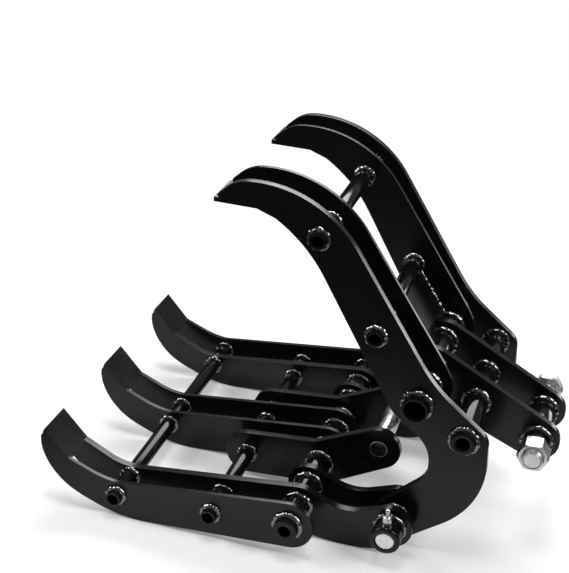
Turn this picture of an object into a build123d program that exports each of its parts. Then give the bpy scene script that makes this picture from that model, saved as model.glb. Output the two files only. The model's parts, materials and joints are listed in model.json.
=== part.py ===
"""Log grapple for a small excavator: a three-tine lower jaw and a two-tine upper jaw on one hinge line."""
import math
import os

from build123d import *

os.makedirs("parts", exist_ok=True)

# Driving dimensions, in millimetres.
# Profiles are drawn in X (towards the heel) and Z (up), measured from the axis of the jaw hinge.
pin_diameter = 25.0            # stick pin and hinge pins
bolt_diameter = 24.0           # link bolt
running_gap = 0.06             # radial clearance of every turning fit
weld_gap = 0.04                # radial clearance of a tube in a plate it is welded into
side_gap = 0.5                 # clearance beside a part that turns between two plates

thin_plate = 6.0
thick_plate = 10.0
tip_plate = 6.0
web_thickness = 6.0

# where each plate stands across the width: its face nearest the middle
tine_spacing = 182.0           # centre of the middle tine to the centre of an outer one
tine_width = 56.0
stick_gap = 108.0              # between the two stick ears
link_gap = 68.0                # between the two link plates
strap_inner_face = 107.0
main_inner_face = 129.0
inner_tine_face = 81.0
tine_half = tine_width / 2
hinge_plate_face = tine_spacing - tine_half
hinge_plate_outer = hinge_plate_face + thick_plate
outer_plate_outer = tine_spacing + tine_half
outer_plate_face = outer_plate_outer - thin_plate
main_outer_face = main_inner_face + thick_plate
strap_outer_face = strap_inner_face + thick_plate
stick_face = stick_gap / 2
stick_outer_face = stick_face + thick_plate
link_face = link_gap / 2
link_outer_face = link_face + thick_plate

# axes of the cross tubes and pins, (X, Z) from the jaw hinge
hinge = (0.0, 0.0)
nose_x = -460.5                # front face of the tines under the tip
front_tube_inset = 102.5       # from the nose to the front tube
front_axis = (nose_x + front_tube_inset, 8.0)
middle_axis = (-225.5, 7.0)
rear_axis = (-122.0, 10.0)
stick_axis = (-40.0, 47.5)
upper_front_axis = (-103.0, 376.5)
upper_middle_axis = (-31.0, 259.0)
heel_axis = (22.5, 171.8)
brace_axis = (82.4, 132.0)
link_axis = (163.5, 88.5)

# tubes: outside radius, bore radius, and how far the end stands out of the last plate
slim_tube = (10.5, 7.5, 11.0)
upper_slim_tube = (11.0, 7.5, 9.0)
rear_tube = (16.0, 8.0, 13.0)
heel_tube = (17.0, 13.5, 14.5)
brace_tube = (16.0, 8.8, 9.0)
weld_leg = 3.5                 # weld bead around a slim tube
heavy_weld_leg = 4.0           # weld bead around a heavy tube

link_tube_radius = 18.0
link_tube_end = 6.0
sleeve_radius = 19.5
sleeve_length = 29.0
barrel_radius = 18.5
pin_chamfer = 1.5

# radii of the round plate ends
rear_end_radius = 33.5
ear_rear_radius = 33.0
strap_end_radius = 28.0
hinge_end_radius = 29.0
stick_end_radius = 30.0
ear_front_radius = 32.0
heel_end_radius = 30.0
brace_end_radius = 33.0
link_end_radius = 29.5

# tips of the tines: the two long edges of each flat tip plate, (X, Z)
tip_front_inset = 6.3          # from the nose to the two edges of the lower tip
tip_back_inset = 37.6
lower_tip_front = (nose_x + tip_front_inset, 92.6)
lower_tip_back = (nose_x + tip_back_inset, 53.0)
upper_tip_front = (-233.5, 409.0)
upper_tip_back = (-179.8, 405.6)

# straight stretches of the lower jaw's edges
belly_slope = 0.0165           # rise of the tines' underside towards the rear
hinge_belly = -39.8            # underside of the hinge plates, the lowest stretch of the jaw
crown_slope = 0.068            # rise of the tine's top edge towards the rear
crown_drop = 6.0               # how much lower the hinge plates' top edge runs
strap_rise = math.radians(18.0)
strap_fall = math.radians(28.8)

# link bolt
hex_flats = 36.0
head_height = 15.0
head_inner_face = 75.0
nut_inner_face = 64.0
nut_height = 19.0
nut_collar_radius = 14.6
nut_collar_height = 6.0
nut_collar_round = 2.0
bolt_end = 94.0


# Drawing helpers
def rounded_face(corners):
    """Flat face with straight sides and a round of its own radius at each corner (X, Z, radius)."""
    count = len(corners)
    entries = []
    for number in range(count):
        here = Vector(corners[number][0], corners[number][1])
        before = Vector(corners[number - 1][0], corners[number - 1][1])
        after = Vector(corners[(number + 1) % count][0], corners[(number + 1) % count][1])
        to_before = (before - here).normalized()
        to_after = (after - here).normalized()
        half_angle = math.acos(max(-1.0, min(1.0, to_before.dot(to_after)))) / 2
        radius = corners[number][2]
        if radius <= 0:
            entries.append((here, None, here))
            continue
        reach = radius / math.tan(half_angle)
        towards_centre = (to_before + to_after).normalized()
        centre = here + towards_centre * (radius / math.sin(half_angle))
        entries.append((here + to_before * reach, centre - towards_centre * radius, here + to_after * reach))
    edges = []
    for number in range(count):
        start, middle, end = entries[number]
        if middle is not None:
            edges.append(ThreePointArc(start, middle, end))
        following = entries[(number + 1) % count][0]
        if (following - end).length > 0.001:
            edges.append(Line(end, following))
    return make_face(Wire(edges))


def round_end(axis, radius, direction):
    """Two corners, in walking order, that close a plate with a half circle about an axis."""
    along = (math.cos(direction), math.sin(direction))
    side = (-along[1], along[0])
    first = (axis[0] + radius * (along[0] - side[0]), axis[1] + radius * (along[1] - side[1]), radius - 0.01)
    second = (axis[0] + radius * (along[0] + side[0]), axis[1] + radius * (along[1] + side[1]), radius - 0.01)
    return [first, second]


def crossing(point, slope, other_point, other_slope):
    """Where two straight edges meet, each given by a point on it and its slope."""
    x = (other_point[1] - point[1] + slope * point[0] - other_slope * other_point[0]) / (slope - other_slope)
    return (x, point[1] + slope * (x - point[0]))


def at_x(x, point, slope):
    """Point at a given X on a straight edge through a point."""
    return (x, point[1] + slope * (x - point[0]))


def band_around(first_axis, first_radius, second_axis, second_radius):
    """Plate outline that wraps two round ends of different radius with straight sides."""
    return make_hull(
        (Pos(*first_axis) * Circle(first_radius)).edges() + (Pos(*second_axis) * Circle(second_radius)).edges()
    )


def plate(face, inner, thickness, side, holes):
    """Cuts a plate from a face. inner is the plate's face nearest the middle; side is -1 left, 1 right."""
    for axis, radius in holes:
        face = face - Pos(*axis) * Circle(radius)
    low = inner if side > 0 else -inner - thickness
    return extrude(Plane.XZ.offset(-(low + thickness)) * face, thickness)


def weld_hole(axis, tube):
    """Hole for a tube that is welded in."""
    return (axis, tube[0] + weld_gap)


def ring_profile(stations):
    """Half section from (distance along Y, radius) stations, spun about the Y axis."""
    return revolve(make_face(Polyline(*[(radius, along) for along, radius in stations], close=True)), Axis.Y)


def turned(axis, stations):
    """Body of revolution about a line across the jaw, from (Y, radius) stations of its outline."""
    return Pos(axis[0], 0, axis[1]) * ring_profile(stations)


def bead(face, radius, leg, side):
    """Weld bead on the tube side of a plate's face, as outline stations that run towards +Y."""
    stations = [(face, radius), (face, radius + leg), (face + side * leg, radius)]
    return stations if side > 0 else stations[::-1]


def welded_tube(axis, tube, last_face, plates, leg):
    """Hollow cross tube with a weld bead on the outer face of every plate it passes through."""
    outside, bore, stand_out = tube
    end = last_face + stand_out
    outline = [(-end, bore), (-end, outside)]
    for inner, thickness, side in sorted(plates, key=lambda entry: entry[0] * entry[2]):
        outline += bead(side * (inner + thickness), outside, leg, side)
    outline += [(end, outside), (end, bore)]
    return turned(axis, outline)


def both_sides(inner, thickness):
    """The same plate on the left and on the right."""
    return [(inner, thickness, -1), (inner, thickness, 1)]


# Front of the tines.
# One sweep from the upright nose to the belly, made of a tight round and a wide one that meet at the chin.
chin_inset = 12.5
chin_point = (nose_x + chin_inset, 36.0)
chin_slope = -1.275
belly_point = (rear_axis[0], rear_axis[1] - rear_end_radius * math.hypot(1.0, belly_slope))
nose_corner = at_x(nose_x, chin_point, chin_slope)
throat_corner = crossing(chin_point, chin_slope, belly_point, belly_slope)
nose_turn = math.pi / 2 - math.atan(-chin_slope)
throat_turn = math.atan(-chin_slope) + math.atan(belly_slope)
throat_reach = math.dist(throat_corner, chin_point)
nose_radius = math.dist(nose_corner, chin_point) / math.tan(nose_turn / 2)
throat_radius = throat_reach / math.tan(throat_turn / 2)

# Floor attitude.
# The jaw rests on the front rounds of the tines and on the hinge plates, which reach lower,
# so the whole grapple leans forward until both stretches touch the floor.
hinge_belly_radius = 200.0
drop_slope = -0.205
drop_corner = (-75.0, hinge_belly)
drop_reach = hinge_belly_radius * math.tan(math.atan(-drop_slope) / 2)
belly_run = (math.cos(math.atan(belly_slope)), math.sin(math.atan(belly_slope)))
front_centre = (
    throat_corner[0] + belly_run[0] * throat_reach - belly_run[1] * throat_radius,
    throat_corner[1] + belly_run[1] * throat_reach + belly_run[0] * throat_radius,
)
rear_centre = (drop_corner[0] + drop_reach, hinge_belly + hinge_belly_radius)
centre_distance = math.dist(front_centre, rear_centre)
centre_slope = math.atan2(rear_centre[1] - front_centre[1], rear_centre[0] - front_centre[0])
floor_slope = centre_slope - math.asin((hinge_belly_radius - throat_radius) / centre_distance)


# Lower jaw profiles
def shifted_tip(front, back, distance):
    """The tip line moved under the tip plate, so the plate's underside lies on the side plates."""
    run = (Vector(back[0], back[1]) - Vector(front[0], front[1])).normalized()
    under = Vector(run.Y, -run.X) * distance
    return (front[0] + under.X, front[1] + under.Y), (back[0] + under.X, back[1] + under.Y)


tip_slope = -0.53
forehead_height = 76.0         # where the front face leans back towards the tip
forehead_radius = 30.0
neck_radius = 90.0
tip_corner_radius = 3.0
step_radius = 120.0
crown_point = (rear_axis[0], rear_axis[1] + rear_end_radius * math.hypot(1.0, crown_slope))


def lower_front_corners(crown_lowered):
    """Corners from the crown round the tip to the belly, shared by all six tine plates."""
    front, back = shifted_tip(lower_tip_front, lower_tip_back, tip_plate)
    neck = crossing((crown_point[0], crown_point[1] - crown_lowered), crown_slope, lower_tip_back, tip_slope)
    return [
        (neck[0], neck[1], neck_radius),
        (back[0], back[1], 0.0),
        (front[0], front[1], tip_corner_radius),
        (nose_x, forehead_height, forehead_radius),
        (nose_corner[0], nose_corner[1], nose_radius),
        (throat_corner[0], throat_corner[1], throat_radius),
    ]


def tine_face():
    """Outer and middle tine plate: tip, belly and a full round at the rear tube."""
    end_x = rear_axis[0] + rear_end_radius
    radius = rear_end_radius - 0.01
    bottom = at_x(end_x, belly_point, belly_slope)
    top = at_x(end_x, crown_point, crown_slope)
    return rounded_face(lower_front_corners(0.0) + [(bottom[0], bottom[1], radius), (top[0], top[1], radius)])


shoulder_point = (-105.7, 33.7)   # on the falling edge behind the rear tube
shoulder_radius = 30.0
valley_radius = 60.0
hinge_heel_radius = 90.0


def hinge_plate_face_outline():
    """Inner plate of an outer tine: it dips behind the rear tube and rises to the hinge."""
    top_point = (rear_axis[0], crown_point[1] - crown_drop)
    end = round_end(hinge, hinge_end_radius, strap_rise)
    rise = math.tan(strap_rise)
    fall = -math.tan(strap_fall)
    shoulder = crossing(top_point, crown_slope, shoulder_point, fall)
    valley = crossing(shoulder_point, fall, end[1], rise)
    heel = crossing(end[0], rise, (0, hinge_belly), 0.0)
    step = crossing(drop_corner, drop_slope, belly_point, belly_slope)
    corners = lower_front_corners(crown_drop)
    corners += [(step[0], step[1], step_radius), (drop_corner[0], drop_corner[1], hinge_belly_radius)]
    corners += [(heel[0], heel[1], hinge_heel_radius)] + end
    corners += [(valley[0], valley[1], valley_radius), (shoulder[0], shoulder[1], shoulder_radius)]
    return rounded_face(corners)


def strap_face():
    """Short strap beside the upper jaw's main plate, from the rear tube to the hinge."""
    front = round_end(rear_axis, strap_end_radius, math.pi - strap_fall)
    end = round_end(hinge, strap_end_radius, strap_rise)
    fall = -math.tan(strap_fall)
    rise = math.tan(strap_rise)
    top_valley = crossing(front[0], fall, end[1], rise)
    front_heel = crossing(front[1], fall, (0, hinge_belly), 0.0)
    rear_heel = crossing(end[0], rise, (0, hinge_belly), 0.0)
    corners = front + [(front_heel[0], front_heel[1], valley_radius)]
    corners += [(rear_heel[0], rear_heel[1], valley_radius)]
    corners += end + [(top_valley[0], top_valley[1], valley_radius)]
    return rounded_face(corners)


def ear_face():
    """Dogleg plate that carries the stick pin, standing on the middle and rear tubes."""
    front = band_around(middle_axis, ear_front_radius, rear_axis, ear_rear_radius)
    rising = band_around(rear_axis, ear_rear_radius, stick_axis, stick_end_radius)
    return front + rising


def tip_bar(front, back, middle, width):
    """Flat plate across a tine's tip, its two long edges bevelled like a sheared bar."""
    front_vector = Vector(front[0], front[1])
    back_vector = Vector(back[0], back[1])
    run = (back_vector - front_vector).normalized()
    under = Vector(run.Y, -run.X) * tip_plate
    bevel = run * tip_plate / 2
    section = make_face(
        Polyline(front_vector, back_vector, back_vector + under, front_vector + under + bevel, close=True)
    )
    return extrude(Plane.XZ.offset(-(middle + width / 2)) * section, width)


# Upper jaw profiles
shank_slope = -1.923           # inside edge of the tine
notch_top_slope = -0.87        # lower edge of the shank where it turns into the notch
arm_angle = math.radians(41.2)
arm_edge_angle = math.radians(34.8)   # outer edge of the arm, which runs on to the heel
arm_outer = 33.9               # distances of the arm's two edges from the hinge axis
arm_inner = 27.0
arm_end = 29.5
arm_outer_round = 29.0
arm_inner_round = 28.5
hook_corner = (-204.5, 438.7)  # top corner of the hook, over the tip
hook_radius = 48.0
back_crown = (-99.6, 438.7)
back_crown_radius = 150.0
back_bend = (42.6, 198.4)
back_bend_radius = 200.0
heel_top = (112.5, 137.5)
heel_top_radius = 8.0
heel_side = 114.0
heel_bottom_radius = 118.0
shank_bend = (-118.4, 369.0)
shank_bend_radius = 190.0
notch_top_point = (-4.0, 153.0)
shank_end = crossing(shank_bend, shank_slope, notch_top_point, notch_top_slope)
shank_end_radius = 40.0
notch_side = 40.5
notch_bottom_radius = 40.0
notch_top_radius = 48.0
inner_end_radius = 34.0
inner_heel = (46.0, 203.0)     # corner behind the heel tube
inner_heel_radius = 30.0


def arm_point(along, across):
    """A point beside the arm's centre line, measured from the hinge axis."""
    return (
        along * math.cos(arm_angle) - across * math.sin(arm_angle),
        along * math.sin(arm_angle) + across * math.cos(arm_angle),
    )


def hook_corners():
    """Corners from the tip over the hook to the crown, shared by both plates of an upper tine."""
    front, back = shifted_tip(upper_tip_back, upper_tip_front, tip_plate)
    return [
        (back[0], back[1], tip_corner_radius),
        (hook_corner[0], hook_corner[1], hook_radius),
        (back_crown[0], back_crown[1], back_crown_radius),
    ]


def shank_corners():
    """Corners from the shank's bend up to the tip, shared by both plates of an upper tine."""
    front, back = shifted_tip(upper_tip_back, upper_tip_front, tip_plate)
    return [(shank_bend[0], shank_bend[1], shank_bend_radius), (front[0], front[1], 0.0)]


def main_plate_face():
    """Side plate of the upper jaw: hooked tine, heel and the arm that curls down to the hinge."""
    slope = math.tan(arm_angle)
    edge_slope = math.tan(arm_edge_angle)
    edge_point = (arm_outer * math.sin(arm_edge_angle), -arm_outer * math.cos(arm_edge_angle))
    inner_end = arm_point(-arm_end, arm_inner)
    outer_end = crossing(edge_point, edge_slope, inner_end, -1 / slope)
    heel_bottom = at_x(heel_side, edge_point, edge_slope)
    notch_bottom = at_x(notch_side, inner_end, slope)
    notch_top = at_x(notch_side, shank_end, notch_top_slope)
    return rounded_face(hook_corners() + [
        (back_bend[0], back_bend[1], back_bend_radius),
        (heel_top[0], heel_top[1], heel_top_radius),
        (heel_bottom[0], heel_bottom[1], heel_bottom_radius),
        (outer_end[0], outer_end[1], arm_outer_round),
        (inner_end[0], inner_end[1], arm_inner_round),
        (notch_bottom[0], notch_bottom[1], notch_bottom_radius),
        (notch_top[0], notch_top[1], notch_top_radius),
        (shank_end[0], shank_end[1], shank_end_radius),
    ] + shank_corners())


def inner_tine_outline():
    """Inner side plate of an upper tine: the same hook, ending round behind the heel tube."""
    end = round_end(heel_axis, inner_end_radius, math.atan(shank_slope))
    heel = [(inner_heel[0], inner_heel[1], inner_heel_radius), end[1], end[0]]
    return rounded_face(hook_corners() + heel + shank_corners())


def link_plate_face():
    """Long plate from the heel tube past the brace tube to the link bolt."""
    outlines = (Pos(*heel_axis) * Circle(heel_end_radius)).edges()
    outlines += (Pos(*brace_axis) * Circle(brace_end_radius)).edges()
    outlines += (Pos(*link_axis) * Circle(link_end_radius)).edges()
    return make_hull(outlines)


def web():
    """Flat plate between the inner tine plates, from the middle tube down to the heel tube."""
    start = Vector(*upper_middle_axis)
    end = Vector(*heel_axis)
    run = (end - start).normalized()
    side = Vector(-run.Y, run.X) * (web_thickness / 2)
    top = start + run * (upper_slim_tube[0] + weld_gap)
    bottom = end - run * (heel_tube[0] + weld_gap)
    section = make_face(Polyline(top + side, bottom + side, bottom - side, top - side, close=True))
    half = inner_tine_face - weld_gap
    sheet = extrude(Plane.XZ.offset(-half) * section, 2 * half)
    heel_ring = Pos(*heel_axis) * Circle(heel_tube[0] + heavy_weld_leg + weld_gap)
    link_disc = Pos(*heel_axis) * Circle(heel_end_radius + weld_gap)
    for side_sign in (-1, 1):
        for disc, low, high in (
            (heel_ring, link_outer_face, link_outer_face + heavy_weld_leg + weld_gap),
            (link_disc, link_face - weld_gap, link_outer_face + weld_gap),
        ):
            top_y = high if side_sign > 0 else -low
            sheet -= extrude(Plane.XZ.offset(-top_y) * disc, high - low)
    return sheet


# Hinge, pins and bolt
nipple_thread = 3.0            # radius of the threaded root
nipple_root = 2.0              # how far its end stays above the pin
nipple_hex = 11.0              # across flats
nipple_hex_height = 8.0
nipple_neck = 13.0             # from the sleeve to the head
nipple_height = 20.5
nipple_head = 3.5              # radius of the round head
nipple_cone = 2.0              # height of the flare under the head
nipple_dome = 2.5              # height of the head's rounded top


def hinge_sleeve(side):
    """Thick collar outside the hinge plate that houses the pin's outer end and the grease nipple."""
    bore = pin_diameter / 2 + weld_gap
    inner = hinge_plate_outer
    outer = hinge_plate_outer + sleeve_length
    outline = [
        (inner, bore), (inner, sleeve_radius + weld_leg), (inner + weld_leg, sleeve_radius),
        (outer - pin_chamfer, sleeve_radius), (outer, sleeve_radius - pin_chamfer), (outer, bore),
    ]
    sleeve = turned(hinge, [(side * along, radius) for along, radius in outline])
    drill = Pos(0, side * (inner + sleeve_length / 2), 0) * Cylinder(
        nipple_thread + weld_gap, 2 * sleeve_radius, align=(Align.CENTER, Align.CENTER, Align.MIN)
    )
    return sleeve - drill


def hinge_pin(side):
    """Short bright pin through sleeve, hinge plate, upper jaw barrel and strap."""
    radius = pin_diameter / 2
    outer = hinge_plate_outer + sleeve_length
    inner = strap_inner_face
    outline = [
        (inner, 0.0), (inner, radius - pin_chamfer), (inner + pin_chamfer, radius),
        (outer - pin_chamfer, radius), (outer, radius - pin_chamfer), (outer, 0.0),
    ]
    return turned(hinge, [(side * along, radius) for along, radius in outline])


def hinge_barrel(side):
    """Bush welded through the upper jaw's main plate that turns on the hinge pin."""
    bore = pin_diameter / 2 + running_gap
    low = strap_outer_face + side_gap
    high = hinge_plate_face - side_gap
    outline = [(low, bore), (low, barrel_radius)] + bead(main_outer_face, barrel_radius, weld_leg, 1)
    outline += [(high, barrel_radius), (high, bore)]
    return turned(hinge, [(side * along, radius) for along, radius in outline])


def grease_nipple(side):
    """Nipple on top of the sleeve: hexagon, waist and the round head a grease gun grips."""
    seat = sleeve_radius
    bottom = pin_diameter / 2 + nipple_root
    body = Pos(0, 0, seat) * extrude(RegularPolygon(nipple_hex / 2, 6, major_radius=False), nipple_hex_height)
    neck = seat + nipple_neck
    top = seat + nipple_height
    stem = turned_up([
        (bottom, 0), (bottom, nipple_thread), (neck, nipple_thread), (neck + nipple_cone, nipple_head),
        (top - nipple_dome, nipple_head), (top, nipple_head / 2), (top, 0),
    ])
    return Pos(0, side * (hinge_plate_outer + sleeve_length / 2), 0) * (body + stem)


def turned_up(stations):
    """Body of revolution about the vertical from (Z, radius) stations."""
    section = make_face(Polyline(*[(radius, height) for height, radius in stations], close=True))
    return revolve(Plane.XZ * section, Axis.Z)


def stick_pin():
    """Bright pin between the two stick ears, its ends flush with their outer faces."""
    radius = pin_diameter / 2
    end = stick_outer_face
    outline = [
        (-end, 0.0), (-end, radius - pin_chamfer), (-end + pin_chamfer, radius),
        (end - pin_chamfer, radius), (end, radius - pin_chamfer), (end, 0.0),
    ]
    return turned(stick_axis, outline)


def link_tube():
    """Tube through both link plates that the link bolt turns in."""
    end = link_outer_face + link_tube_end
    bore = bolt_diameter / 2 + running_gap
    outline = [(-end, bore), (-end, link_tube_radius)]
    for side in (-1, 1):
        outline += bead(side * link_outer_face, link_tube_radius, heavy_weld_leg, side)
    outline += [(end, link_tube_radius), (end, bore)]
    return turned(link_axis, outline)


def hexagon_across(low, high):
    """Hexagonal prism across the jaw on the link axis with its ends turned off at 30 degrees."""
    hexagon = Pos(*link_axis) * RegularPolygon(hex_flats / 2, 6, major_radius=False)
    blank = extrude(Plane.XZ.offset(-high) * hexagon, high - low)
    corner = hex_flats / math.sqrt(3)
    chamfer = (corner - hex_flats / 2) * math.tan(math.radians(30))
    outline = [(low, 0), (low, hex_flats / 2), (low + chamfer, corner)]
    outline += [(high - chamfer, corner), (high, hex_flats / 2), (high, 0)]
    return blank & turned(link_axis, outline)


def link_bolt():
    """Hexagon-headed bolt through the link tube; the head is on the right side."""
    radius = bolt_diameter / 2
    outline = [
        (-bolt_end, 0.0), (-bolt_end, radius - pin_chamfer), (-bolt_end + pin_chamfer, radius),
        (head_inner_face, radius), (head_inner_face, 0.0),
    ]
    return turned(link_axis, outline) + hexagon_across(head_inner_face, head_inner_face + head_height)


def link_nut():
    """Lock nut: hexagon and a round collar on its outer end."""
    outer = nut_inner_face + nut_height
    bore = bolt_diameter / 2 + weld_gap
    collar = turned(link_axis, [
        (-outer - nut_collar_height, bore), (-outer - nut_collar_height, nut_collar_radius - nut_collar_round),
        (-outer - nut_collar_height + nut_collar_round, nut_collar_radius),
        (-outer, nut_collar_radius), (-outer, bore),
    ])
    near = 1.0 - nut_inner_face
    far = -1.0 - outer
    hollow = turned(link_axis, [(far, 0), (far, bore), (near, bore), (near, 0)])
    return (hexagon_across(-outer, -nut_inner_face) - hollow) + collar


# Assembly
def build_parts():
    """Every piece in its place, with the jaw hinge as the origin."""
    parts = {}
    slim_holes = [weld_hole(front_axis, slim_tube), weld_hole(middle_axis, slim_tube)]
    slim_holes += [weld_hole(rear_axis, rear_tube)]
    hinge_hole = (hinge, pin_diameter / 2 + weld_gap)
    upper_holes = [weld_hole(upper_front_axis, upper_slim_tube), weld_hole(upper_middle_axis, upper_slim_tube)]
    upper_holes += [weld_hole(heel_axis, heel_tube)]
    brace_hole = weld_hole(brace_axis, brace_tube)
    barrel_hole = (hinge, barrel_radius + weld_gap)
    link_holes = [weld_hole(heel_axis, heel_tube), brace_hole, (link_axis, link_tube_radius + weld_gap)]
    ear_holes = [weld_hole(middle_axis, slim_tube), weld_hole(rear_axis, rear_tube)]
    ear_holes += [(stick_axis, pin_diameter / 2 + running_gap)]

    for name, side in (("left", -1), ("right", 1)):
        parts[f"lower_outer_plate_{name}"] = plate(tine_face(), outer_plate_face, thin_plate, side, slim_holes)
        parts[f"lower_hinge_plate_{name}"] = plate(
            hinge_plate_face_outline(), hinge_plate_face, thick_plate, side, slim_holes + [hinge_hole]
        )
        parts[f"lower_middle_plate_{name}"] = plate(
            tine_face(), tine_half - thin_plate, thin_plate, side, slim_holes
        )
        parts[f"lower_tip_{name}"] = tip_bar(lower_tip_front, lower_tip_back, side * tine_spacing, tine_width)
        parts[f"hinge_strap_{name}"] = plate(
            strap_face(), strap_inner_face, thick_plate, side, [weld_hole(rear_axis, rear_tube), hinge_hole]
        )
        parts[f"stick_ear_{name}"] = plate(ear_face(), stick_face, thick_plate, side, ear_holes)
        parts[f"hinge_sleeve_{name}"] = hinge_sleeve(side)
        parts[f"hinge_pin_{name}"] = hinge_pin(side)
        parts[f"grease_nipple_{name}"] = grease_nipple(side)
        parts[f"upper_main_plate_{name}"] = plate(
            main_plate_face(), main_inner_face, thick_plate, side, upper_holes + [brace_hole, barrel_hole]
        )
        parts[f"upper_inner_plate_{name}"] = plate(
            inner_tine_outline(), inner_tine_face, thin_plate, side, upper_holes
        )
        tip_middle = side * (inner_tine_face + main_outer_face) / 2
        tip_width = main_outer_face - inner_tine_face
        parts[f"upper_tip_{name}"] = tip_bar(upper_tip_back, upper_tip_front, tip_middle, tip_width)
        parts[f"hinge_barrel_{name}"] = hinge_barrel(side)
        parts[f"link_plate_{name}"] = plate(link_plate_face(), link_face, thick_plate, side, link_holes)

    parts["lower_tip_middle"] = tip_bar(lower_tip_front, lower_tip_back, 0.0, tine_width)
    tines = both_sides(outer_plate_face, thin_plate) + both_sides(hinge_plate_face, thick_plate)
    tines += both_sides(tine_half - thin_plate, thin_plate)
    ears = both_sides(stick_face, thick_plate)
    straps = both_sides(strap_inner_face, thick_plate)
    wide = outer_plate_outer
    parts["front_cross_tube"] = welded_tube(front_axis, slim_tube, wide, tines, weld_leg)
    parts["middle_cross_tube"] = welded_tube(middle_axis, slim_tube, wide, tines + ears, weld_leg)
    rear_plates = tines + ears + straps
    parts["rear_cross_tube"] = welded_tube(rear_axis, rear_tube, wide, rear_plates, heavy_weld_leg)
    mains = both_sides(main_inner_face, thick_plate)
    inners = both_sides(inner_tine_face, thin_plate)
    links = both_sides(link_face, thick_plate)
    narrow = main_outer_face
    tine_plates = mains + inners
    parts["upper_front_tube"] = welded_tube(upper_front_axis, upper_slim_tube, narrow, tine_plates, weld_leg)
    parts["upper_middle_tube"] = welded_tube(upper_middle_axis, upper_slim_tube, narrow, tine_plates, weld_leg)
    parts["heel_tube"] = welded_tube(heel_axis, heel_tube, narrow, tine_plates + links, heavy_weld_leg)
    parts["brace_tube"] = welded_tube(brace_axis, brace_tube, narrow, mains + links, heavy_weld_leg)
    parts["upper_web"] = web()
    parts["stick_pin"] = stick_pin()
    parts["link_tube"] = link_tube()
    parts["link_bolt"] = link_bolt()
    parts["link_nut"] = link_nut()
    return parts


def stand_on_floor(parts):
    """Leans the grapple onto its two resting stretches and puts the origin under its middle."""
    lean = Rotation(0, math.degrees(floor_slope), 0)
    leaned = {name: lean * solid for name, solid in parts.items()}
    box = Compound(children=[solid.moved(Location()) for solid in leaned.values()]).bounding_box()
    home = Pos(-(box.min.X + box.max.X) / 2, -(box.min.Y + box.max.Y) / 2, -box.min.Z)
    return {name: home * solid for name, solid in leaned.items()}, home * lean


finished, placing = stand_on_floor(build_parts())
for node, solid in finished.items():
    export_step(solid, f"parts/{node}.step")
for label, axis in (("jaw hinge", hinge), ("stick pin", stick_axis), ("link bolt", link_axis)):
    point = (placing * Pos(axis[0], 0, axis[1])).position
    print(label, round(point.X, 3), round(point.Y, 3), round(point.Z, 3))
print(len(finished), "pieces, lean", round(math.degrees(floor_slope), 3))
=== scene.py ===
# %% [markdown]
# # A log grapple, from bare solids to a studio picture
# The grapple is two welded jaws on one hinge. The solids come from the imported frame, so every piece
# here starts where the solids say. This notebook gives each piece its rounded edges, its welds and its finish.

# %% Load the frame
import json
import math

import bpy
from mathutils import Matrix, Vector

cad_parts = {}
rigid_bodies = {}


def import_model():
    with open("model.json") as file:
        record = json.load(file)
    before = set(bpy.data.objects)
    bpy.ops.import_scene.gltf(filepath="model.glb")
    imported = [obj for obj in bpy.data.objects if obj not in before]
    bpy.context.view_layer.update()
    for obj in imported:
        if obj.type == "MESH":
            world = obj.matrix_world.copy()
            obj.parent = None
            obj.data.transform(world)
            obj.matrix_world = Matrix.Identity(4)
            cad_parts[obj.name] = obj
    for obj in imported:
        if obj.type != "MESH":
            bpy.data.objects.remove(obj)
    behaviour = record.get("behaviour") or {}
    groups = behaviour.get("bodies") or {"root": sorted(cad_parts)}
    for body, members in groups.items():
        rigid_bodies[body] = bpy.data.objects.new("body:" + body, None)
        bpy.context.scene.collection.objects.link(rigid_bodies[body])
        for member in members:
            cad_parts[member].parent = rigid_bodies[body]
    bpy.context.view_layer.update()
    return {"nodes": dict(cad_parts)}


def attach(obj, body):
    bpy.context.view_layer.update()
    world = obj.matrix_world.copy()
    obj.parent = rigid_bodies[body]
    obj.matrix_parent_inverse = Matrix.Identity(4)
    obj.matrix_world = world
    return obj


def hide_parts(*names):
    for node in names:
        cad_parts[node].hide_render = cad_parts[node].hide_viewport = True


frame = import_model()

# %% [markdown]
# The side view of the grapple is drawn from the axis of the jaw hinge, X towards the heel and Z up. On the floor
# the whole tool leans a little forward, so a point of that drawing is turned and moved into the frame. Places
# could be typed in the frame itself, but on the drawing they stay round numbers that can be read and checked.

# %% Places on the drawing
MM = 0.001
hinge_home = Vector((0.137614, 0.0, 0.043497))
lean = math.radians(2.839)


def place(x, z, y=0.0):
    """A point of the side drawing, in millimetres from the hinge, as a place in the frame."""
    along = x * math.cos(lean) - z * math.sin(lean)
    up = x * math.sin(lean) + z * math.cos(lean)
    return hinge_home + Vector((along, y, up)) * MM


axes = {
    "hinge": (0.0, 0.0),
    "front": (-358.0, 8.0),
    "middle": (-225.5, 7.0),
    "rear": (-122.0, 10.0),
    "stick": (-40.0, 47.5),
    "upper_front": (-103.0, 376.5),
    "upper_middle": (-31.0, 259.0),
    "heel": (22.5, 171.8),
    "brace": (82.4, 132.0),
    "link": (163.5, 88.5),
}
for axis_name, spot in axes.items():
    print(axis_name, [round(v, 4) for v in place(*spot)])

# %% [markdown]
# The camera looks at the left side of the tool, from a little towards its heel, and down on it at 27 degrees. A
# camera can be aimed by hand, but here its turn, drop and distance are numbers, so the view can be set again. A
# long lens keeps the plates nearly parallel. The camera is set up on the untilted drawing and leans with the tool.

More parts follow.
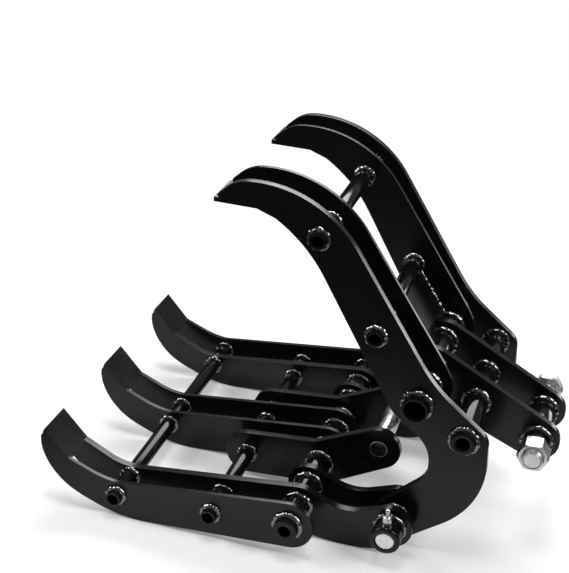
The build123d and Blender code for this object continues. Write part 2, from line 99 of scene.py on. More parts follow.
# %% Camera
view_turn = math.radians(16.80)
view_drop = math.radians(26.82)
view_distance = 1.56317
aim_height = 0.200
back = Vector((math.sin(view_turn) * math.cos(view_drop), -math.cos(view_turn) * math.cos(view_drop),
               math.sin(view_drop)))
right = Vector((math.cos(view_turn), math.sin(view_turn), 0.0))
up = back.cross(right)
stand = Matrix((right, up, back)).transposed().to_4x4()
stand.translation = Vector((0.0, 0.0, aim_height)) + back * view_distance
to_hinge = Matrix.Translation((-0.167, 0.0, 0.007))
lean_turn = Matrix.Rotation(-lean, 4, "Y")

scene_objects = bpy.context.scene.collection.objects
lens = bpy.data.cameras.new("studio_camera")
camera = bpy.data.objects.new("studio_camera", lens)
scene_objects.link(camera)
camera.matrix_world = Matrix.Translation(hinge_home) @ lean_turn @ to_hinge @ stand
lens.sensor_fit = "HORIZONTAL"
lens.sensor_width = 36.0
lens.lens = 73.24
lens.shift_x = -0.0293
lens.shift_y = 0.0414
lens.clip_start = 0.05
lens.clip_end = 60.0
bpy.context.scene.camera = camera
print("camera at", [round(v, 3) for v in camera.matrix_world.translation])

# %% [markdown]
# ## Finishes
# Every finish is worked out from patterns that the shader computes at each point of the surface, in the
# object's own coordinates. An image could be wrapped around each piece instead, but a computed pattern needs no
# unwrapping and stays sharp at any distance. A few helpers keep the materials short.

# %% Node helpers: patterns
def new_finish(name):
    """A material with a Principled shader, its node tree and the object coordinates to read."""
    material = bpy.data.materials.new(name)
    material.use_nodes = True
    tree = material.node_tree
    shader = tree.nodes["Principled BSDF"]
    spot = tree.nodes.new("ShaderNodeTexCoord")
    return material, tree, shader, spot.outputs["Object"]


def noise(tree, spot, scale, detail, stretch=None):
    """Noise of a given scale, on coordinates that may be stretched along one direction."""
    if stretch is not None:
        mapping = tree.nodes.new("ShaderNodeMapping")
        mapping.inputs["Scale"].default_value = stretch
        tree.links.new(spot, mapping.inputs["Vector"])
        spot = mapping.outputs["Vector"]
    node = tree.nodes.new("ShaderNodeTexNoise")
    node.inputs["Scale"].default_value = scale
    node.inputs["Detail"].default_value = detail
    tree.links.new(spot, node.inputs["Vector"])
    return node.outputs["Fac"]


noise_low, noise_high = 0.3, 0.7
print("noise mostly stays between", noise_low, "and", noise_high)


# %% Node helpers: what a pattern drives
def ranged(tree, value, low, high, start=noise_low, end=noise_high):
    """A value from start to end stretched to run from low to high."""
    node = tree.nodes.new("ShaderNodeMapRange")
    node.inputs["From Min"].default_value = start
    node.inputs["From Max"].default_value = end
    node.inputs["To Min"].default_value = low
    node.inputs["To Max"].default_value = high
    tree.links.new(value, node.inputs["Value"])
    return node.outputs["Result"]


def two_tone(tree, value, dark, light, start=noise_low, end=noise_high):
    """A colour that runs from dark to light with a value."""
    ramp = tree.nodes.new("ShaderNodeValToRGB")
    for element, position, colour in zip(ramp.color_ramp.elements, (start, end), (dark, light)):
        element.position = position
        element.color = (*colour, 1.0)
    tree.links.new(value, ramp.inputs["Fac"])
    return ramp.outputs["Color"]


def bumped(tree, height, strength, distance, below=None):
    """A bump from a height, laid over another bump if there is one below."""
    node = tree.nodes.new("ShaderNodeBump")
    node.inputs["Strength"].default_value = strength
    node.inputs["Distance"].default_value = distance
    tree.links.new(height, node.inputs["Height"])
    if below is not None:
        tree.links.new(below, node.inputs["Normal"])
    return node.outputs["Normal"]


def worked_out(tree, operation, *values, clamp=False):
    """A Math node on sockets and plain numbers."""
    node = tree.nodes.new("ShaderNodeMath")
    node.operation = operation
    node.use_clamp = clamp
    for socket, value in zip(node.inputs, values):
        if isinstance(value, bpy.types.NodeSocket):
            tree.links.new(value, socket)
        else:
            socket.default_value = value
    return node.outputs[0]


print("helpers", [helper.__name__ for helper in (ranged, two_tone, bumped, worked_out)])

# %% [markdown]
# The plates wear a satin black coating. It is almost black and shows mostly through what it mirrors, so its
# roughness carries the look. A large soft noise varies the roughness, and a very fine one gives the skin of the
# coating. The same coat is smoother and glossier over a weld, because the bead is round and clean, and smooth on
# the tubes. On the web it is rougher and mirrors far less: a painted shade, standing for the shadow that the web
# lies in between the plates.

# %% Black coating
coat_dark, coat_light = (0.0025, 0.0025, 0.0027), (0.0050, 0.0050, 0.0054)


def black_coating(name, roughness, skin_scale, skin_strength, mirror, density=1.5):
    """Black paint: tone, roughness and skin each vary at their own scale. density is its index of refraction."""
    material, tree, shader, spot = new_finish(name)
    tone = noise(tree, spot, scale=16.0, detail=6.0)
    cloud = noise(tree, spot, scale=38.0, detail=5.0)
    skin = noise(tree, spot, scale=skin_scale, detail=2.0)
    runs = noise(tree, spot, scale=120.0, detail=3.0)
    tree.links.new(two_tone(tree, tone, coat_dark, coat_light), shader.inputs["Base Color"])
    tree.links.new(ranged(tree, cloud, *roughness), shader.inputs["Roughness"])
    wavy = bumped(tree, runs, strength=0.06, distance=0.6 * MM)
    fine = bumped(tree, skin, skin_strength, 0.3 * MM, below=wavy)
    tree.links.new(fine, shader.inputs["Normal"])
    shader.inputs["Specular IOR Level"].default_value = mirror
    shader.inputs["IOR"].default_value = density
    return material


plate_coat = black_coating("plate_coat", (0.19, 0.28), skin_scale=1100.0, skin_strength=0.06, mirror=0.33)
# The web's copy of the coat is rougher and mirrors far less than the plates' coat: painted shade for the web.
shaded_web_coat = black_coating("shaded_web_coat", (0.30, 0.40), skin_scale=1100.0, skin_strength=0.06, mirror=0.03)
weld_coat = black_coating("weld_coat", (0.05, 0.10), skin_scale=150.0, skin_strength=0.8, mirror=0.6, density=2.4)
tube_coat = black_coating("tube_coat", (0.07, 0.13), skin_scale=900.0, skin_strength=0.06, mirror=0.28)
print("coatings", [m.name for m in (plate_coat, shaded_web_coat, weld_coat, tube_coat)])

# %% [markdown]
# The pins, the bolt and the nipples are plated bright. A turned face keeps the fine rings that the tool leaves,
# and a turned side keeps them as lines around it. The marks are far too fine to model, so they are bumps, and
# both patterns are centred on the axis of their own pin.

# %% Turning marks
def turning_marks(tree, own, ring_strength):
    """Bumps for the rings on a turned face and the lines around a turned side."""
    mark_depth = 0.2 * MM
    rings = tree.nodes.new("ShaderNodeTexWave")
    rings.wave_type = "RINGS"
    rings.rings_direction = "Y"
    rings.inputs["Scale"].default_value = 420.0
    rings.inputs["Distortion"].default_value = 0.6
    tree.links.new(own, rings.inputs["Vector"])
    lines = noise(tree, own, scale=260.0, detail=3.0, stretch=(0.08, 14.0, 0.08))
    fine = bumped(tree, lines, strength=0.10, distance=mark_depth)
    return bumped(tree, rings.outputs["Fac"], ring_strength, mark_depth, below=fine)


def blacken_ends(tree, spot, shader, start):
    """Turns plating black and not metallic beyond a distance from the middle, so that the end faces of the pin
    render dark.
    """
    end_black, fade = (0.004, 0.004, 0.0043, 1.0), 0.1 * MM
    sides = tree.nodes.new("ShaderNodeSeparateXYZ")
    tree.links.new(spot, sides.inputs["Vector"])
    out = worked_out(tree, "ABSOLUTE", sides.outputs["Y"])
    coated = ranged(tree, out, 0.0, 1.0, start, start + fade)
    bare = ranged(tree, coated, 1.0, 0.0, 0.0, 1.0)
    blend = tree.nodes.new("ShaderNodeMix")
    blend.data_type = "RGBA"
    tree.links.new(coated, blend.inputs["Factor"])
    tree.links.new(shader.inputs["Base Color"].links[0].from_socket, blend.inputs["A"])
    blend.inputs["B"].default_value = end_black
    tree.links.new(blend.outputs["Result"], shader.inputs["Base Color"])
    tree.links.new(bare, shader.inputs["Metallic"])


print("marks", turning_marks.__name__, "ends", blacken_ends.__name__)

# %% Bright plating
plating_dark, plating_light = (0.60, 0.61, 0.63), (0.84, 0.85, 0.86)


def bright_plating(name, centre, roughness, ring_strength, black_from=None):
    """Plated steel with turning marks about an axis that runs across the jaw through a point.

    black_from: how far out black ends begin, in metres."""
    material, tree, shader, spot = new_finish(name)
    mapping = tree.nodes.new("ShaderNodeMapping")
    mapping.inputs["Location"].default_value = (-centre.x, -centre.y, -centre.z)
    tree.links.new(spot, mapping.inputs["Vector"])
    own = mapping.outputs["Vector"]
    stain = noise(tree, own, scale=90.0, detail=5.0)
    tree.links.new(two_tone(tree, stain, plating_dark, plating_light), shader.inputs["Base Color"])
    tree.links.new(ranged(tree, stain, *roughness), shader.inputs["Roughness"])
    tree.links.new(turning_marks(tree, own, ring_strength), shader.inputs["Normal"])
    shader.inputs["Metallic"].default_value = 1.0
    if black_from is not None:
        blacken_ends(tree, spot, shader, black_from)
    return material


hinge_plating = bright_plating("hinge_plating", place(*axes["hinge"]), (0.20, 0.34), 0.05)
# The stick pin's plating turns black and not metallic at its two end faces, which then render dark.
stick_plating = bright_plating("stick_plating", place(*axes["stick"]), (0.20, 0.34), 0.05, black_from=63.85 * MM)
bolt_plating = bright_plating("bolt_plating", place(*axes["link"]), (0.22, 0.36), 0.04)
print("platings", [m.name for m in (hinge_plating, stick_plating, bolt_plating)])

# %% [markdown]
# ## Selecting and finishing
# Every operator works on what is selected, and the frame arrives selected, so each step first deselects all.
# A finished piece gets its material, rides on its jaw and may stand for the solid that it copies or rebuilds.

# %% Small tools
def only(*pieces):
    """Selects these pieces alone and makes the first one active."""
    bpy.ops.object.select_all(action="DESELECT")
    for piece in pieces:
        piece.select_set(True)
    bpy.context.view_layer.objects.active = pieces[0]


def settle(piece):
    """Puts the place, turn and size of a piece into its mesh."""
    only(piece)
    bpy.ops.object.transform_apply(location=True, rotation=True, scale=True)


def smooth_by_angle(piece, degrees):
    """Smooth shading over faces that meet at less than an angle."""
    only(piece)
    bpy.ops.object.shade_smooth_by_angle(angle=math.radians(degrees))


def fit(piece, body, material, *nodes, slot="black_paint"):
    """Finishes a piece: its coat, the body it belongs to, and the solids it stands for. The slot is not used."""
    piece.data.materials.clear()
    piece.data.materials.append(material)
    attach(piece, body)
    if nodes:
        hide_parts(*nodes)
    return piece


print("tools", [tool.__name__ for tool in (only, settle, smooth_by_angle, fit)])

# %% [markdown]
# ## Plates
# The plates are cut by laser or plasma and coated, so their outlines are exact and their edges slightly rounded.
# They could be drawn again, but the solids already have every outline and hole, so each plate is a copy of its
# solid: the loose triangles are merged, flat faces become one face again, and a small bevel runs around every
# sharp edge, because it is this narrow round that catches the light.

# %% Rounded copies of the solids
merge_within = 0.004 * MM
one_plane, sharp_edge = math.radians(0.5), math.radians(35)


def keep_faces_flat(piece):
    """Lets the large faces set the shading, so that the narrow rounds don't bend it."""
    flat = piece.modifiers.new("flat_faces", "WEIGHTED_NORMAL")
    flat.mode = "FACE_AREA"
    flat.weight = 50
    flat.keep_sharp = True
    bpy.ops.object.modifier_apply(modifier=flat.name)


def rounded_copy(node, name, round_mm, reshape=None):
    """A copy of a solid with merged corners, whole flat faces and rounded edges. reshape may alter it first."""
    piece = bpy.data.objects.new(name, frame["nodes"][node].data.copy())
    scene_objects.link(piece)
    only(piece)
    bpy.ops.mesh.customdata_custom_splitnormals_clear()
    bpy.ops.object.mode_set(mode="EDIT")
    bpy.ops.mesh.select_all(action="SELECT")
    bpy.ops.mesh.remove_doubles(threshold=merge_within)
    bpy.ops.mesh.dissolve_limited(angle_limit=one_plane)
    bpy.ops.mesh.select_all(action="DESELECT")
    bpy.ops.object.mode_set(mode="OBJECT")
    if reshape is not None:
        reshape(piece)
    bevel = piece.modifiers.new("edge_round", "BEVEL")
    bevel.width = round_mm * MM
    bevel.segments = 2
    bevel.limit_method = "ANGLE"
    bevel.angle_limit = sharp_edge
    bevel.use_clamp_overlap = True
    bpy.ops.object.modifier_apply(modifier=bevel.name)
    smooth_by_angle(piece, degrees=24)
    keep_faces_flat(piece)
    return piece


print("corners merge within", merge_within / MM, "mm")

# %% [markdown]
# At a few places the real outline lies some millimetres away from that of the solid: at the notch under each
# tip, at the chin and crown of the lower tines, at the heel of the upper jaw and at the ends of the link bolt.
# A plate drawn anew would have to repeat all its holes, so only the vertices near such a place are moved, on the
# copy, before its edges are rounded. Each helper below makes one such change, in millimetres on the drawing.

# %% Corners and rounds
def on_drawing(spot):
    """A place in the frame as a point of the side drawing, in millimetres from the hinge."""
    off = (spot - hinge_home) / MM
    return off.x * math.cos(lean) + off.z * math.sin(lean), off.z * math.cos(lean) - off.x * math.sin(lean)


def drawn_to(corner, goal):
    """Draws the corner of a plate at one point of the side drawing to another point."""
    step = place(*goal) - place(*corner)
    at_corner = 0.5

    def reshape(piece):
        for vertex in piece.data.vertices:
            if math.dist(on_drawing(vertex.co), corner) < at_corner:
                vertex.co += step
    return reshape


def rounder(corner, reach, factor):
    """Makes the round at a corner of the outline larger: it grows about the corner, along the same two edges."""
    def reshape(piece):
        for vertex in piece.data.vertices:
            x, z = on_drawing(vertex.co)
            if math.dist((x, z), corner) < reach:
                grown = [c + factor * (v - c) for c, v in zip(corner, (x, z))]
                vertex.co += place(*grown) - place(x, z)
    return reshape


lower_notch = drawn_to((-427.61, 49.28), (-422.9, 53.0))
upper_notch = drawn_to((-179.42, 411.59), (-179.8, 405.6))
upper_heel = rounder((112.5, 137.5), 4.5, 3.5)
print("the hinge is at", on_drawing(hinge_home), "on the drawing")


# %% Chin and crown of the lower tines
def fuller(crown):
    """Fills a lower tine at the chin, and by crown millimetres along its top edge behind the tip."""
    chin, chin_reach, chin_push = (-434.0, 12.0), 50.0, Vector((-2.3, 0.0, -2.5)) * MM
    chin_height, chin_front = 26.0, -441.0
    crown_start, crown_peak, crown_end = -423.5, -396.0, -340.0

    def reshape(piece):
        lower_notch(piece)
        for vertex in piece.data.vertices:
            x, z = on_drawing(vertex.co)
            if z < chin_height or x < chin_front:
                share = max(0.0, 1.0 - (math.dist((x, z), chin) / chin_reach) ** 2)
                vertex.co += chin_push * share ** 2
            elif crown_start < x < crown_end:
                rise = (x - crown_start) / (crown_peak - crown_start)
                fall = (crown_end - x) / (crown_end - crown_peak)
                share = min(rise, fall)
                vertex.co.z += crown * MM * share ** 2 * (3.0 - 2.0 * share)
    return reshape


outer_crown, middle_crown, hinge_crown = 4.0, 3.4, 0.0
print("crowns", outer_crown, middle_crown, hinge_crown)


# %% Ends of the tips and of the bolt
def narrower(inset):
    """Draws in both ends of a tip by a little, so that they lie behind the faces of its two plates."""
    def reshape(piece):
        across = [vertex.co.y for vertex in piece.data.vertices]
        centre = (min(across) + max(across)) / 2
        for vertex in piece.data.vertices:
            vertex.co.y -= math.copysign(inset * MM, vertex.co.y - centre)
    return reshape


def footed(reach):
    """Lengthens a lower tip at its foot, down between its two plates."""
    tip_top, tip_foot, middle_height = (-454.2, 92.6), (-422.9, 53.0), 62.0
    step = (place(*tip_foot) - place(*tip_top)).normalized() * reach * MM

    def reshape(piece):
        for vertex in piece.data.vertices:
            if on_drawing(vertex.co)[1] < middle_height:
                vertex.co += step
    return reshape


def drawn_out(beyond, distance):
    """Draws out what lies beyond a distance to one side of the middle."""
    side = math.copysign(1.0, beyond)

    def reshape(piece):
        for vertex in piece.data.vertices:
            if vertex.co.y * side > abs(beyond) * MM:
                vertex.co.y += side * distance * MM
    return reshape


def in_turn(*steps):
    """Several changes of shape, one after the other."""
    def reshape(piece):
        for step in steps:
            step(piece)
    return reshape


tip_inset, tip_foot_reach = 0.12, 3.5
print("tips drawn in by", tip_inset, "and down by", tip_foot_reach)

# %% [markdown]
# With the changes in one table, every plate is coated in one loop. The tips are thin and sheared, so their edges
# get a narrower round than the plates.

# %% Coat the plates
reshapes = {
    "lower_outer": fuller(outer_crown), "lower_middle": fuller(middle_crown), "lower_hinge": fuller(hinge_crown),
    "upper_main": in_turn(upper_notch, upper_heel), "upper_inner": upper_notch,
}
lower_plates = ["lower_tip_middle"]
upper_plates = ["upper_web"]
for side in ("left", "right"):
    lower_plates += [f"lower_outer_plate_{side}", f"lower_hinge_plate_{side}", f"lower_middle_plate_{side}"]
    lower_plates += [f"lower_tip_{side}", f"hinge_strap_{side}", f"stick_ear_{side}"]
    upper_plates += [f"upper_main_plate_{side}", f"upper_inner_plate_{side}"]
    upper_plates += [f"upper_tip_{side}", f"link_plate_{side}"]
for node in lower_plates + upper_plates:
    if node.startswith("lower_tip"):
        reshapes[node] = in_turn(narrower(tip_inset), footed(tip_foot_reach))
    elif node.startswith("upper_tip"):
        reshapes[node] = narrower(tip_inset)

plate_round, tip_round = 0.6, 0.25
for body, plates in (("lower_jaw", lower_plates), ("upper_jaw", upper_plates)):
    for node in plates:
        reshape = reshapes.get(node.split("_plate")[0])
        coated = rounded_copy(node, "coated_" + node, tip_round if "tip" in node else plate_round, reshape)
        fit(coated, body, shaded_web_coat if node == "upper_web" else plate_coat, node)
    print(body, len(plates), "coated plates, last has", len(coated.data.polygons), "faces")

# %% [markdown]
# ## Turned pieces
# Tubes, pins, sleeves and nipples are all round about one axis. A cylinder would give their bodies but not their
# rounded lips, so a ring of vertices is pulled out step by step along the axis and resized at each step, as a
# lathe tool would trace it. A hollow piece comes back through its bore to where it began.

# %% The lathe
def turn_up(name, rings, sides=48, hollow=False):
    """A piece about the Z axis from (height, radius) rings in millimetres, each pulled out of the last."""
    bpy.ops.object.select_all(action="DESELECT")
    height, radius = rings[0]
    bpy.ops.mesh.primitive_circle_add(vertices=sides, radius=radius * MM, fill_type="NOTHING",
                                      location=(0.0, 0.0, height * MM))
    piece = bpy.context.active_object
    piece.name = name
    bpy.ops.object.transform_apply(location=True)
    bpy.ops.object.mode_set(mode="EDIT")
    bpy.ops.mesh.select_all(action="SELECT")
    for next_height, next_radius in rings[1:]:
        bpy.ops.mesh.extrude_edges_move(TRANSFORM_OT_translate={"value": (0.0, 0.0, (next_height - height) * MM)})
        growth = next_radius / radius
        bpy.ops.transform.resize(value=(growth, growth, 1.0), center_override=(0.0, 0.0, next_height * MM))
        height, radius = next_height, next_radius
    if not hollow:
        bpy.ops.mesh.edge_face_add()
        bpy.ops.mesh.select_all(action="SELECT")
        bpy.ops.mesh.region_to_loop()
        bpy.ops.mesh.edge_face_add()
    bpy.ops.mesh.select_all(action="SELECT")
    bpy.ops.mesh.remove_doubles(threshold=0.001 * MM)
    bpy.ops.mesh.normals_make_consistent(inside=False)
    bpy.ops.object.mode_set(mode="OBJECT")
    return piece


def lay_across(piece, spot, side=1):
    """Lays an upright piece across the jaw at a place, pointing to the right (1) or to the left (-1)."""
    piece.rotation_euler = (-side * math.pi / 2, 0.0, 0.0)
    piece.location = spot
    settle(piece)
    smooth_by_angle(piece, degrees=40)


print("lathe", turn_up.__name__, "then", lay_across.__name__)

# %% [markdown]
# ## Cross tubes
# Eight open tubes tie the plates together. They pass through every plate and stand out of the last one, so
# their rounded lips and dark bores show on both sides. Only the lengths and radii differ, so one list of rings
# serves them all.

# %% Tubes
def tube_rings(half, outside, bore, lip=0.9):
    """Rings of an open tube with softly rounded lips, from one end of its bore over the outside and back."""
    part = 0.3 * lip
    return [
        (-half + lip, bore), (-half + part, bore + part), (-half, bore + lip), (-half, outside - lip),
        (-half + part, outside - part), (-half + lip, outside), (half - lip, outside),
        (half - part, outside - part), (half, outside - lip), (half, bore + lip),
        (half - part, bore + part), (half - lip, bore), (-half + lip, bore),
    ]


tubes = {
    "front_cross_tube": ("front", "lower_jaw", 221.0, 10.5, 7.5),
    "middle_cross_tube": ("middle", "lower_jaw", 221.0, 10.5, 7.5),
    "rear_cross_tube": ("rear", "lower_jaw", 223.0, 16.0, 8.0),
    "upper_front_tube": ("upper_front", "upper_jaw", 148.0, 11.0, 7.5),
    "upper_middle_tube": ("upper_middle", "upper_jaw", 148.0, 11.0, 7.5),
    "heel_tube": ("heel", "upper_jaw", 153.5, 17.0, 13.5),
    "brace_tube": ("brace", "upper_jaw", 148.0, 16.0, 8.8),
    "link_tube": ("link", "upper_jaw", 50.0, 18.0, 12.06),
}
for node, (axis_name, body, half, outside, bore) in tubes.items():
    tube = turn_up("coated_" + node, tube_rings(half, outside, bore), hollow=True)
    lay_across(tube, place(*axes[axis_name]))
    fit(tube, body, tube_coat, node)
    print(node, len(tube.data.polygons), "faces")

# %% [markdown]
# ## Weld beads
# Around every tube a bead of weld joins it to the plate, on both faces. A bump in the paint would leave the
# corner sharp, so the beads are modelled. A torus sits in the corner between tube and plate. Every other of its
# slices is drawn in a little, which gives the ripples of a hand-laid weld, and a cloud pattern pushes it about,
# so that no two beads look alike.

# %% Bead shapes
def bead_ring(radius, leg):
    """A rippled weld bead about the Z axis, in millimetres."""
    slices, ripple = 44, 0.025
    bpy.ops.object.select_all(action="DESELECT")
    bpy.ops.mesh.primitive_torus_add(major_radius=radius * MM, minor_radius=leg * MM,
                                     major_segments=slices, minor_segments=8)
    ring = bpy.context.active_object
    ring.name = "bead"
    for vertex in ring.data.vertices:
        turn = math.atan2(vertex.co.y, vertex.co.x) / (2 * math.pi) * slices
        vertex.select = round(turn) % 2 == 0
    bpy.ops.object.mode_set(mode="EDIT")
    bpy.ops.mesh.select_mode(type="VERT")
    bpy.ops.transform.shrink_fatten(value=-ripple * leg * MM)
    bpy.ops.object.mode_set(mode="OBJECT")
    return ring


def weld_run(start, end, leg):
    """A straight bead between two places, with ripples along it and thin ends, in millimetres."""
    pace, thin_end, dip = 4.5, 0.4, 0.84
    length = (end - start).length / MM
    steps = 2 * max(2, round(length / pace)) + 1
    rings = [(0.0, thin_end * leg)]
    for number in range(steps):
        rings.append(((number + 0.5) / steps * length, leg * (dip if number % 2 else 1.0)))
    rings.append((length, thin_end * leg))
    bead = turn_up("weld_run", rings, sides=10)
    bead.rotation_euler = (end - start).to_track_quat("Z", "Y").to_euler()
    bead.location = start
    settle(bead)
    return bead


print("bead shapes", bead_ring.__name__, weld_run.__name__)

# %% [markdown]
# All the beads of one tube become one piece. A level of subdivision rounds them, and the cloud texture then
# displaces them. It is read in the frame's own coordinates, so each bead meets another part of the cloud.

# %% Joining the beads
lumps = bpy.data.textures.new("weld_lumps", "CLOUDS")
lumps.noise_scale = 0.0056
lumps.noise_depth = 1


def joined_welds(name, beads, body):
    """Joins laid beads to one piece, rounds them and pushes them about."""
    only(*beads)
    bpy.ops.object.join()
    welds = bpy.context.active_object
    welds.name = name
    settle(welds)
    rounding = welds.modifiers.new("rounding", "SUBSURF")
    rounding.levels = 1
    rounding.render_levels = 1
    push = welds.modifiers.new("lumps", "DISPLACE")
    push.texture = lumps
    push.texture_coords = "GLOBAL"
    push.strength = 3.0 * MM
    push.mid_level = 0.5
    for modifier in ("rounding", "lumps"):
        bpy.ops.object.modifier_apply(modifier=modifier)
    smooth_by_angle(welds, degrees=180)
    fit(welds, body, weld_coat)
    print(name, len(beads), "beads,", len(welds.data.polygons), "faces")


def ring_welds(name, axis_name, radius, leg, faces, body, twist):
    """Lays a bead about an axis at each distance on both sides, each a copy turned on by a twist, and joins them."""
    pattern = bead_ring(radius, leg)
    beads = []
    for face in faces:
        for side in (-1, 1):
            bead = bpy.data.objects.new(pattern.name, pattern.data.copy())
            scene_objects.link(bead)
            across = Matrix.Rotation(math.pi / 2, 4, "X") @ Matrix.Rotation(len(beads) * twist, 4, "Z")
            bead.matrix_world = Matrix.Translation(place(*axes[axis_name], side * face)) @ across
            beads.append(bead)
    bpy.data.objects.remove(pattern)
    joined_welds(name, beads, body)


# %% Beads around the cross tubes
plate_faces = {
    "outer": (204.0, 210.0),
    "hinge": (154.0, 164.0),
    "middle": (22.0, 28.0),
    "strap": (107.0, 117.0),
    "ear": (54.0, 64.0),
    "main": (129.0, 139.0),
    "inner": (81.0, 87.0),
    "link": (34.0, 44.0),
}
slim_leg, stout_leg = 4.5, 5.0
crossings = {
    "front": ("front_cross_tube", slim_leg, ("outer", "hinge", "middle")),
    "middle": ("middle_cross_tube", slim_leg, ("outer", "hinge", "middle", "ear")),
    "rear": ("rear_cross_tube", stout_leg, ("outer", "hinge", "middle", "ear", "strap")),
    "upper_front": ("upper_front_tube", slim_leg, ("main", "inner")),
    "upper_middle": ("upper_middle_tube", slim_leg, ("main", "inner")),
    "heel": ("heel_tube", stout_leg, ("main", "inner", "link")),
    "brace": ("brace_tube", stout_leg, ("main", "link")),
    "link": ("link_tube", stout_leg, ("link",)),
}
bead_rise = 0.6
for axis_name, (node, leg, plates) in crossings.items():
    body, outside = tubes[node][1], tubes[node][3]
    faces = [face for plate_name in plates for face in plate_faces[plate_name]]
    ring_welds(axis_name + "_tube_welds", axis_name, outside + bead_rise, leg, faces, body, twist=1.7)

# %% [markdown]
# The web is welded in along its two long edges, on both of its faces, from the middle tube down to the heel tube.
# These beads are straight, so they are turned on the lathe and laid along the edges.

# %% Runs along the web
web_top, web_end = Vector(axes["upper_middle"]), Vector(axes["heel"])
web_run = (web_end - web_top).normalized()
web_half, web_side = 3.0, plate_faces["inner"][0]
top_gap, end_gap, web_leg = 13.0, 19.0, 3.0
runs = []
for face in (-1, 1):
    off = Vector((-web_run.y, web_run.x)) * web_half * face
    first = web_top + web_run * top_gap + off
    last = web_end - web_run * end_gap + off
    for side in (-1, 1):
        runs.append(weld_run(place(*first, side * web_side), place(*last, side * web_side), web_leg))
joined_welds("web_welds", runs, "upper_jaw")

# %% [markdown]
# ## Jaw hinge
# On each side a short bright pin runs from the thick outer sleeve through the hinge plate, the barrel of the
# upper jaw and the strap. The sleeve has a rounded rim and a grease nipple on top. All three are turned, so
# the lathe makes them, and the left ones point the other way.

# %% Sleeves, barrels and pins
sleeve_rings = [
    (164.0, 12.54), (164.0, 19.5), (190.2, 19.5), (191.6, 19.1), (192.6, 18.1), (193.0, 16.7), (193.0, 13.3),
    (192.2, 12.54), (164.0, 12.54),
]
barrel_rings = [
    (117.5, 12.56), (117.5, 17.8), (118.2, 18.5), (152.8, 18.5), (153.5, 17.8), (153.5, 12.56), (117.5, 12.56),
]
hinge_pin_rings = [
    (107.0, 11.0), (108.2, 12.2), (109.0, 12.5), (191.2, 12.5), (192.2, 12.1), (192.9, 11.2), (193.0, 10.4),
]
for side, name in ((-1, "left"), (1, "right")):
    sleeve = turn_up("coated_hinge_sleeve_" + name, sleeve_rings, hollow=True)
    barrel = turn_up("coated_hinge_barrel_" + name, barrel_rings, hollow=True)
    pin = turn_up("bright_hinge_pin_" + name, hinge_pin_rings)
    for piece in (sleeve, barrel, pin):
        lay_across(piece, place(*axes["hinge"]), side)
    fit(sleeve, "lower_jaw", tube_coat, "hinge_sleeve_" + name)
    fit(barrel, "upper_jaw", tube_coat, "hinge_barrel_" + name)
    fit(pin, "lower_jaw", hinge_plating, "hinge_pin_" + name, slot="bright_steel")
    print(name, "hinge", len(sleeve.data.polygons), len(barrel.data.polygons), len(pin.data.polygons))

# %% Beads at the hinge
sleeve_radius, barrel_radius, hinge_leg = 19.5, 18.5, 3.4
outer_face = plate_faces["hinge"][1:]
ring_welds("sleeve_welds", "hinge", sleeve_radius, hinge_leg, outer_face, "lower_jaw", twist=1.3)
ring_welds("barrel_welds", "hinge", barrel_radius, hinge_leg, plate_faces["main"], "upper_jaw", twist=1.3)

# %% [markdown]
# The grease nipple is a small hexagon with a narrow neck and a ball that the grease gun grips. Both are turned
# upright, the hexagon with only six sides, and then stood on the sleeve.

# %% Grease nipples
hexagon_rings = [(19.2, 5.3), (19.6, 6.2), (26.2, 6.2), (27.3, 5.4), (27.5, 4.0)]
stem_rings = [
    (14.6, 3.0), (27.0, 3.0), (27.4, 3.9), (28.6, 3.9), (29.4, 3.2), (31.8, 2.3), (33.0, 2.2), (34.0, 2.6),
    (35.0, 3.3), (36.2, 3.5), (37.6, 3.3), (39.0, 2.5), (39.8, 1.4), (40.0, 0.7), (39.5, 0.5),
]
nipple_out = 178.5
for side, name in ((-1, "left"), (1, "right")):
    hexagon = turn_up("nipple_hexagon", hexagon_rings, sides=6)
    stem = turn_up("nipple_stem", stem_rings, sides=28)
    only(stem, hexagon)
    bpy.ops.object.join()
    stem.name = "bright_nipple_" + name
    stem.matrix_world = Matrix.Translation(place(*axes["hinge"], side * nipple_out)) @ lean_turn
    settle(stem)
    smooth_by_angle(stem, degrees=35)
    fit(stem, "lower_jaw", hinge_plating, "grease_nipple_" + name, slot="bright_steel")
    print(stem.name, len(stem.data.polygons), "faces")

# %% [markdown]
# ## Stick pin and link bolt
# The stick pin lies between the two ears and its ends finish flush with them. The link bolt carries a
# hexagon head on the far side and a lock nut with a round collar on the near side. The pin is turned, and the
# bolt and nut are copies of their solids, which have the hexagons already.

# %% Stick pin
stick_pin = turn_up("bright_stick_pin", [
    (-64.0, 11.0), (-63.7, 11.8), (-62.6, 12.5), (62.6, 12.5), (63.7, 11.8), (64.0, 11.0),
])
lay_across(stick_pin, place(*axes["stick"]))
fit(stick_pin, "stick_pin_body", stick_plating, "stick_pin", slot="bright_steel")
print(stick_pin.name, len(stick_pin.data.polygons), "faces")

# %% Link bolt and nut
bolt_round = 0.5
head_from, head_out = 74.5, 13.0
nut_from, nut_out = -80.0, 5.0
for node, reshape in (("link_bolt", drawn_out(head_from, head_out)), ("link_nut", drawn_out(nut_from, nut_out))):
    piece = rounded_copy(node, "bright_" + node, bolt_round, reshape)
    fit(piece, "link_bolt_body", bolt_plating, node, slot="bright_steel")
    print(node, len(piece.data.polygons), "faces")

# %% [markdown]
# ## Floor, light and background
# The tool stands on a white floor. For the camera the lit floor is white, and only the shadow is left on it. More
# light would whiten a floor too, but it would spoil the black of the tool, so the white is in the floor's own
# finish. Further out the floor is dark to all but the camera, because the side plates mirror it there, and on
# the real tool they look nearly black.

# %% What a ray sees
mirrored = 0.04


def seen_share(tree):
    """How much of the white background a ray sees: all of it from the camera, a small share of it in a mirror."""
    seen = tree.nodes.new("ShaderNodeLightPath")
    through = worked_out(tree, "ADD", seen.outputs["Is Glossy Ray"], seen.outputs["Is Transmission Ray"])
    return worked_out(tree, "MULTIPLY_ADD", through, mirrored, seen.outputs["Is Camera Ray"], clamp=True)


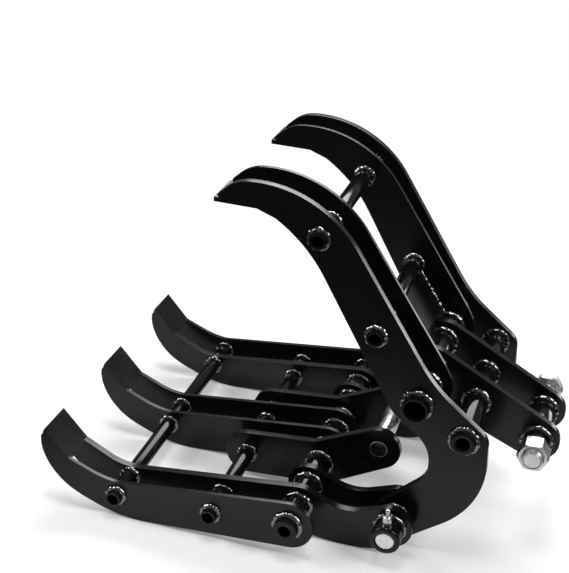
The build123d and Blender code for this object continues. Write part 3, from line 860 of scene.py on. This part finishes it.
def emptied_tree(owner):
    """The node tree of a material or world, switched on and without the nodes it starts with."""
    owner.use_nodes = True
    for node in list(owner.node_tree.nodes):
        owner.node_tree.nodes.remove(node)
    return owner.node_tree


print("mirrored share of the background", mirrored)

# %% Floor
floor_size, near_edge, far_edge = 24.0, 0.38, 0.58
floor_pale, floor_dark = (0.78, 0.78, 0.78), (0.05, 0.05, 0.05)
near_glow, far_glow = 0.16, 1.0
floor_finish = bpy.data.materials.new("studio_floor")
tree = emptied_tree(floor_finish)
spot = tree.nodes.new("ShaderNodeTexCoord")
reach = tree.nodes.new("ShaderNodeVectorMath")
reach.operation = "LENGTH"
tree.links.new(spot.outputs["Object"], reach.inputs[0])
away = reach.outputs["Value"]
matte = tree.nodes.new("ShaderNodeBsdfDiffuse")
outwards = ranged(tree, away, 0.0, 1.0, near_edge, far_edge)
tree.links.new(two_tone(tree, outwards, floor_pale, floor_dark, 0.0, 1.0), matte.inputs["Color"])
glow = tree.nodes.new("ShaderNodeEmission")
white = ranged(tree, away, near_glow, far_glow, near_edge, far_edge)
tree.links.new(worked_out(tree, "MULTIPLY", seen_share(tree), white), glow.inputs["Strength"])
both = tree.nodes.new("ShaderNodeAddShader")
tree.links.new(matte.outputs[0], both.inputs[0])
tree.links.new(glow.outputs[0], both.inputs[1])
output = tree.nodes.new("ShaderNodeOutputMaterial")
tree.links.new(both.outputs[0], output.inputs["Surface"])

bpy.ops.object.select_all(action="DESELECT")
bpy.ops.mesh.primitive_plane_add(size=floor_size, location=(0.0, 0.0, 0.0))
floor = bpy.context.active_object
floor.name = "studio_floor"
floor.data.materials.append(floor_finish)
print(floor.name, "with", len(tree.nodes), "nodes")

# %% [markdown]
# The world is white for the camera and dim for everything else, so that the background is white while the light
# on the tool stays with the lamps.

# %% World
world = bpy.data.worlds.new("studio")
bpy.context.scene.world = world
tree = emptied_tree(world)
chosen = tree.nodes.new("ShaderNodeMixShader")
tree.links.new(seen_share(tree), chosen.inputs["Fac"])
for socket, strength in ((1, 0.18), (2, 1.0)):
    sky = tree.nodes.new("ShaderNodeBackground")
    sky.inputs["Color"].default_value = (1.0, 1.0, 1.0, 1.0)
    sky.inputs["Strength"].default_value = strength
    tree.links.new(sky.outputs[0], chosen.inputs[socket])
output = tree.nodes.new("ShaderNodeOutputWorld")
tree.links.new(chosen.outputs[0], output.inputs["Surface"])
print("world", world.name, "with", len(tree.nodes), "nodes")

# %% [markdown]
# Black paint shows its edges only by what it mirrors. A wide soft light therefore hangs behind and above, where
# the tops of the plates mirror it, and a small one stands low behind for the sheared tips. Three weaker ones
# light the floor and soften its shadows from the top and from both sides.

# %% Lamps
lamps = {
    "back_light": ((-0.05, 1.05, 1.28), (0.0, 0.0, 0.30), 1.4, 0.60, 20.0),
    "edge_light": ((1.06, 1.25, 0.34), (0.0, 0.0, 0.30), 0.42, 0.42, 3.2),
    "top_light": ((0.0, -0.25, 1.85), (0.0, 0.0, 0.2), 0.5, 0.5, 9.0),
    "left_light": ((-1.50, -0.45, 1.05), (-0.1, 0.0, 0.15), 0.8, 0.8, 15.0),
    "right_light": ((1.40, -0.40, 1.20), (0.1, 0.0, 0.15), 0.7, 0.8, 15.0),
}
for name, (spot, aim, width, height, watts) in lamps.items():
    light = bpy.data.lights.new(name, "AREA")
    light.shape = "RECTANGLE"
    light.size = width
    light.size_y = height
    light.energy = watts
    lamp = bpy.data.objects.new(name, light)
    scene_objects.link(lamp)
    lamp.location = spot
    lamp.rotation_euler = (Vector(aim) - Vector(spot)).to_track_quat("-Z", "Y").to_euler()
    lamp.visible_camera = False
    print(name, watts, "W at", spot)
bpy.context.scene.view_settings.view_transform = "Standard"
